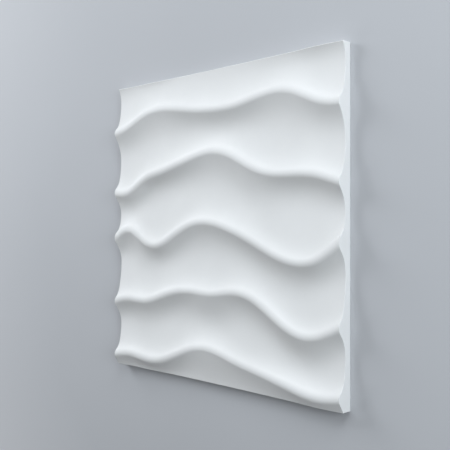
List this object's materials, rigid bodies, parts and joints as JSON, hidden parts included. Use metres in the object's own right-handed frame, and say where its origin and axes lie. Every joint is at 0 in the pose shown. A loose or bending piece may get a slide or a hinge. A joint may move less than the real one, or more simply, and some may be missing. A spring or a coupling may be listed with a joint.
{
  "type": "relief wall tile",
  "caption": "Square cast gypsum wall tile with a relief of wavy rounded crests and hollow troughs that repeats from tile to tile.",
  "frame": {"origin": "centre of the flat back", "axes": "+Z out of the wall, through the relief; +Y up the tile as it hangs; +X to the right, seen from the front"},
  "size_m": [0.5, 0.5, 0.0255],
  "materials": {
    "gypsum": "matte, as cast, with a fine grain"
  },
  "bodies": {
    "root": {"relief_tile": "gypsum"}
  },
  "joints": []
}
